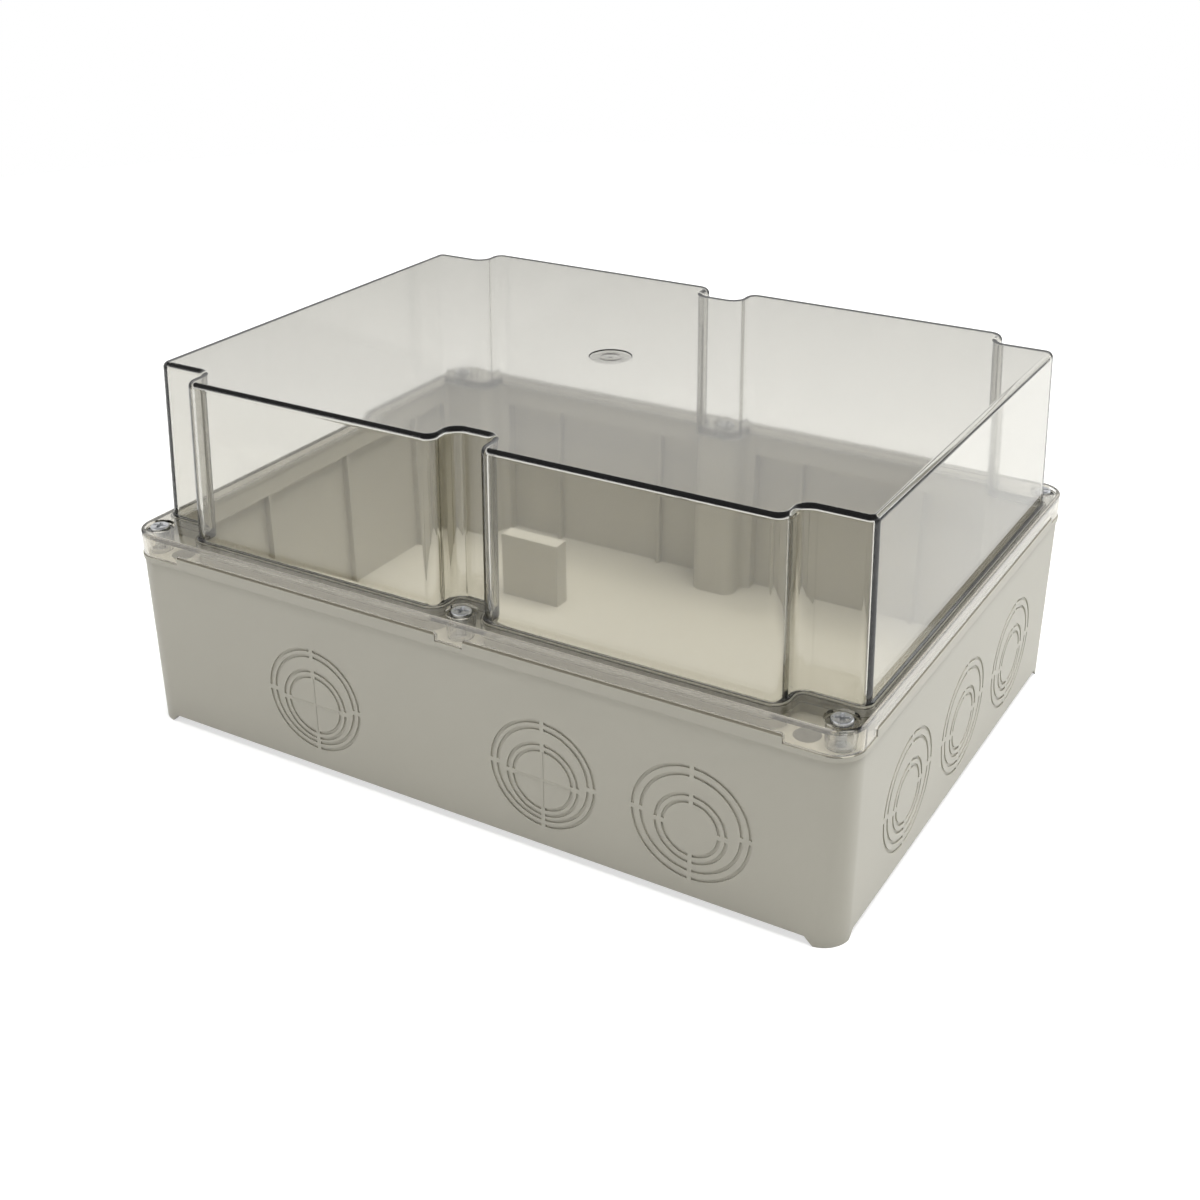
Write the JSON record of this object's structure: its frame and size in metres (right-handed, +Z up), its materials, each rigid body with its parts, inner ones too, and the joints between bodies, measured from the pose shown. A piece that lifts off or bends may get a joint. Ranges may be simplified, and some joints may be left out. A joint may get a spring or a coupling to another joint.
{
  "type": "plastic junction box",
  "caption": "Deep grey plastic junction box with ring knock-outs in its walls and a tall clear lid, stepped in around captive lid screws and sealed by a gasket.",
  "frame": {"origin": "middle of the footprint, on the surface that the four corner feet stand on", "axes": "+X along the box's length, +Y across it towards the back wall, +Z up towards the clear lid"},
  "size_m": [0.38, 0.282, 0.184],
  "materials": {
    "base_plastic": "fine moulded satin",
    "clear_plastic": "clear, slightly smoked",
    "gasket_foam": "matt foam",
    "screw_steel": "bright zinc plating",
    "ring_nylon": "natural"
  },
  "bodies": {
    "base": {"base_box": "base_plastic"},
    "lid": {"clear_lid": "clear_plastic", "lid_gasket": "gasket_foam"},
    "ring_1": {"screw_ring_1": "ring_nylon"},
    "screw_1": {"lid_screw_1": "screw_steel"},
    "ring_2": {"screw_ring_2": "ring_nylon"},
    "screw_2": {"lid_screw_2": "screw_steel"},
    "ring_3": {"screw_ring_3": "ring_nylon"},
    "screw_3": {"lid_screw_3": "screw_steel"},
    "ring_4": {"screw_ring_4": "ring_nylon"},
    "screw_4": {"lid_screw_4": "screw_steel"},
    "ring_5": {"screw_ring_5": "ring_nylon"},
    "screw_5": {"lid_screw_5": "screw_steel"},
    "ring_6": {"screw_ring_6": "ring_nylon"},
    "screw_6": {"lid_screw_6": "screw_steel"}
  },
  "joints": [
    {"name": "lid_lift", "type": "slide", "parent": "base", "child": "lid", "axis": [0, 0, 1], "range_m": [0, 0.15]},
    {"name": "screw_1_rise", "type": "slide", "parent": "lid", "child": "ring_1", "axis": [0, 0, 1], "range_m": [0, 0.0076]},
    {"name": "screw_1_turn", "type": "hinge", "parent": "ring_1", "child": "screw_1", "pos_m": [-0.1795, -0.1298, 0.1034], "axis": [0, 0, 1], "range_deg": [0, 1715]},
    {"name": "screw_2_rise", "type": "slide", "parent": "lid", "child": "ring_2", "axis": [0, 0, 1], "range_m": [0, 0.0076]},
    {"name": "screw_2_turn", "type": "hinge", "parent": "ring_2", "child": "screw_2", "pos_m": [0, -0.1298, 0.1034], "axis": [0, 0, 1], "range_deg": [0, 1715]},
    {"name": "screw_3_rise", "type": "slide", "parent": "lid", "child": "ring_3", "axis": [0, 0, 1], "range_m": [0, 0.0076]},
    {"name": "screw_3_turn", "type": "hinge", "parent": "ring_3", "child": "screw_3", "pos_m": [0.1795, -0.1298, 0.1034], "axis": [0, 0, 1], "range_deg": [0, 1715]},
    {"name": "screw_4_rise", "type": "slide", "parent": "lid", "child": "ring_4", "axis": [0, 0, 1], "range_m": [0, 0.0076]},
    {"name": "screw_4_turn", "type": "hinge", "parent": "ring_4", "child": "screw_4", "pos_m": [0.1795, 0.1298, 0.1034], "axis": [0, 0, 1], "range_deg": [0, 1715]},
    {"name": "screw_5_rise", "type": "slide", "parent": "lid", "child": "ring_5", "axis": [0, 0, 1], "range_m": [0, 0.0076]},
    {"name": "screw_5_turn", "type": "hinge", "parent": "ring_5", "child": "screw_5", "pos_m": [0, 0.1298, 0.1034], "axis": [0, 0, 1], "range_deg": [0, 1715]},
    {"name": "screw_6_rise", "type": "slide", "parent": "lid", "child": "ring_6", "axis": [0, 0, 1], "range_m": [0, 0.0076]},
    {"name": "screw_6_turn", "type": "hinge", "parent": "ring_6", "child": "screw_6", "pos_m": [-0.1795, 0.1298, 0.1034], "axis": [0, 0, 1], "range_deg": [0, 1715]}
  ],
  "couplings": [
    {"joint": "screw_1_turn", "follows": "screw_1_rise", "rad_per_m": 3927},
    {"joint": "screw_2_turn", "follows": "screw_2_rise", "rad_per_m": 3927},
    {"joint": "screw_3_turn", "follows": "screw_3_rise", "rad_per_m": 3927},
    {"joint": "screw_4_turn", "follows": "screw_4_rise", "rad_per_m": 3927},
    {"joint": "screw_5_turn", "follows": "screw_5_rise", "rad_per_m": 3927},
    {"joint": "screw_6_turn", "follows": "screw_6_rise", "rad_per_m": 3927}
  ]
}
